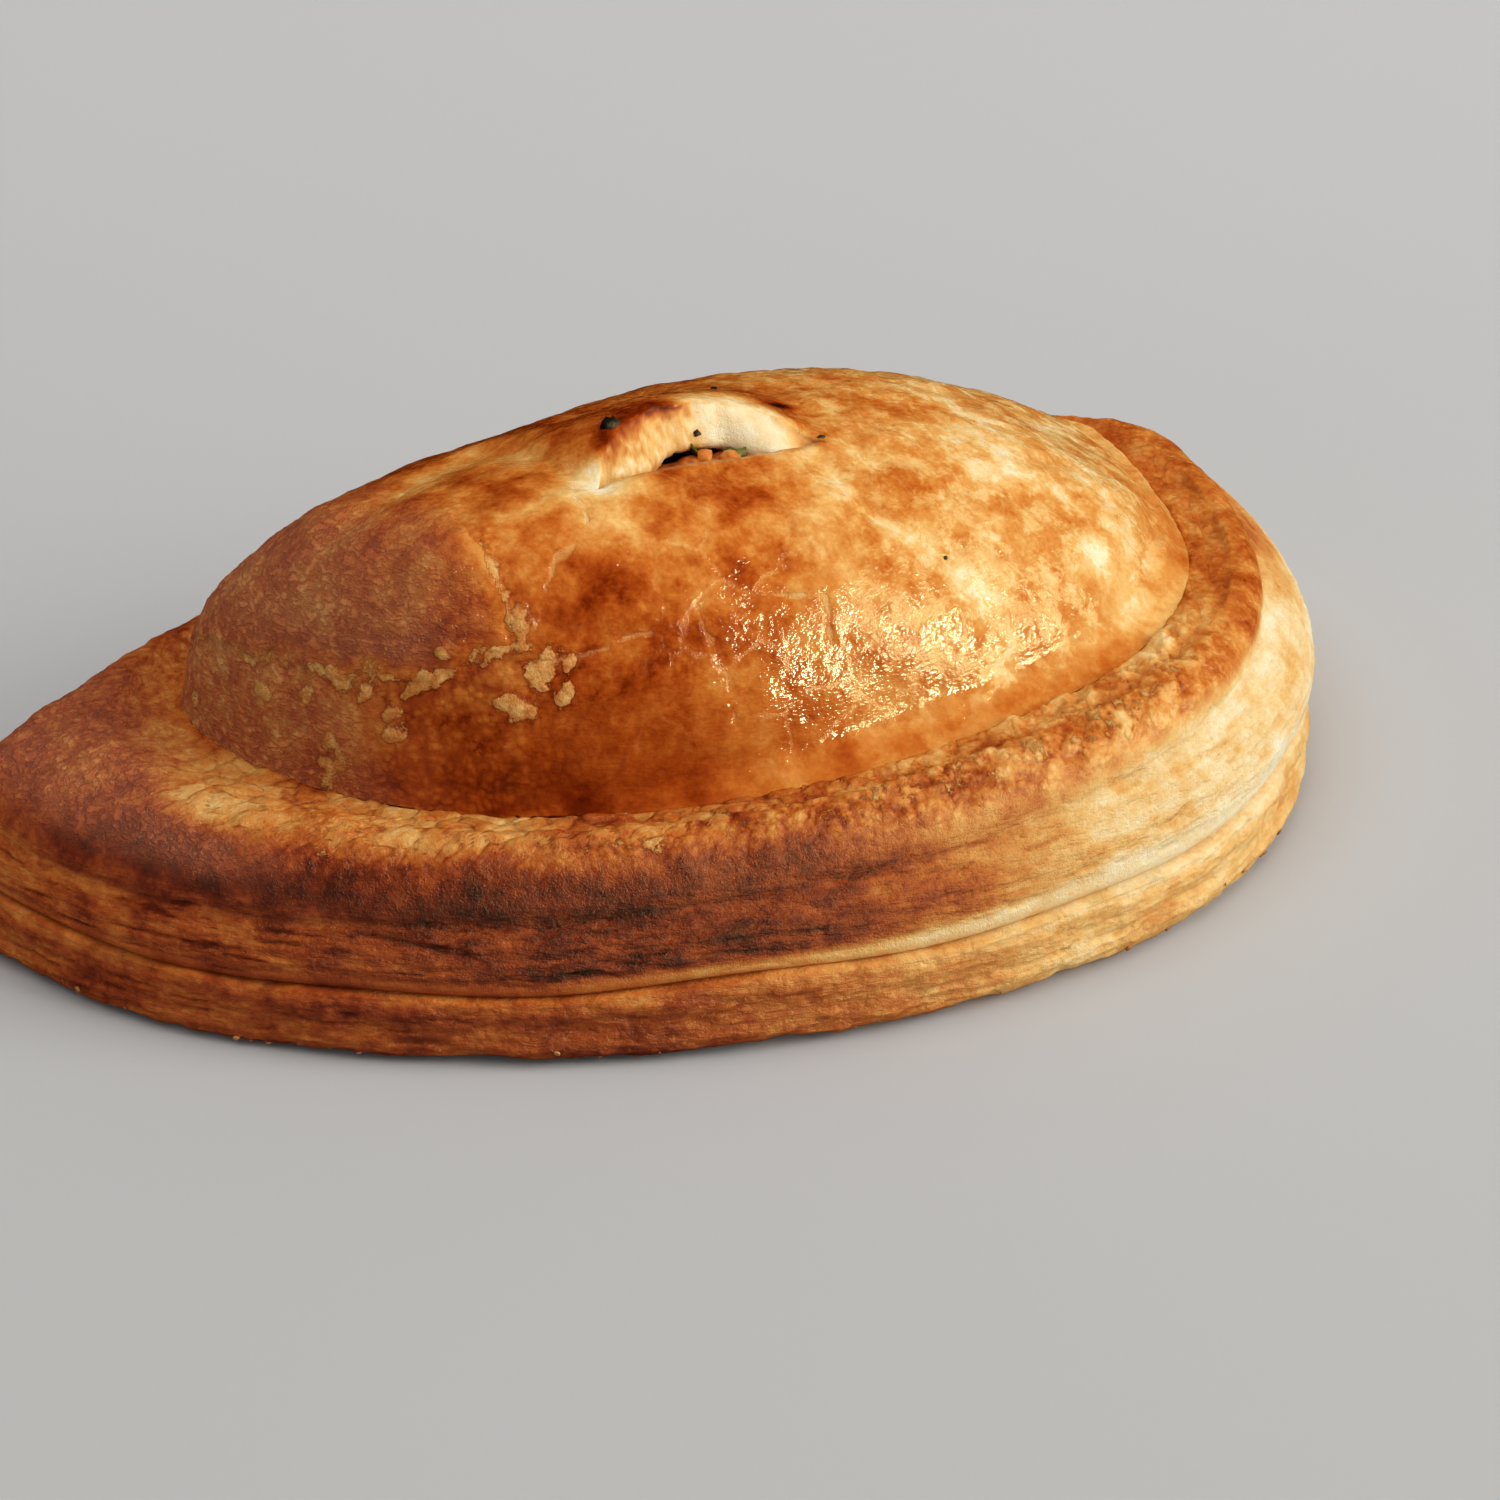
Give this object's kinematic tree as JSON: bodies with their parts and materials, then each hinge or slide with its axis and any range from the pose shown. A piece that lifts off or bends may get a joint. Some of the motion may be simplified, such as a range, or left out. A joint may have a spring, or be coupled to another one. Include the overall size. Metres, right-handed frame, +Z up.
{
  "type": "vegetable pasty",
  "caption": "Baked half-moon pasty of puff pastry with a puffed lid, a raised layered rim and a steam vent that shows its vegetable filling.",
  "frame": {"origin": "middle of the underside's box, on the surface that the pasty rests on", "axes": "+X from tip to tip towards the blunter tip, +Y towards the gently arched back edge, +Z up; the round front edge faces -Y"},
  "size_m": [0.1854, 0.109, 0.058],
  "materials": {
    "crust": "egg-washed, baked golden to dark brown, flaky",
    "filling": "moist, lumpy, dark brown with green and orange pieces"
  },
  "bodies": {
    "root": {"crust": "crust", "filling": "filling"}
  },
  "joints": []
}
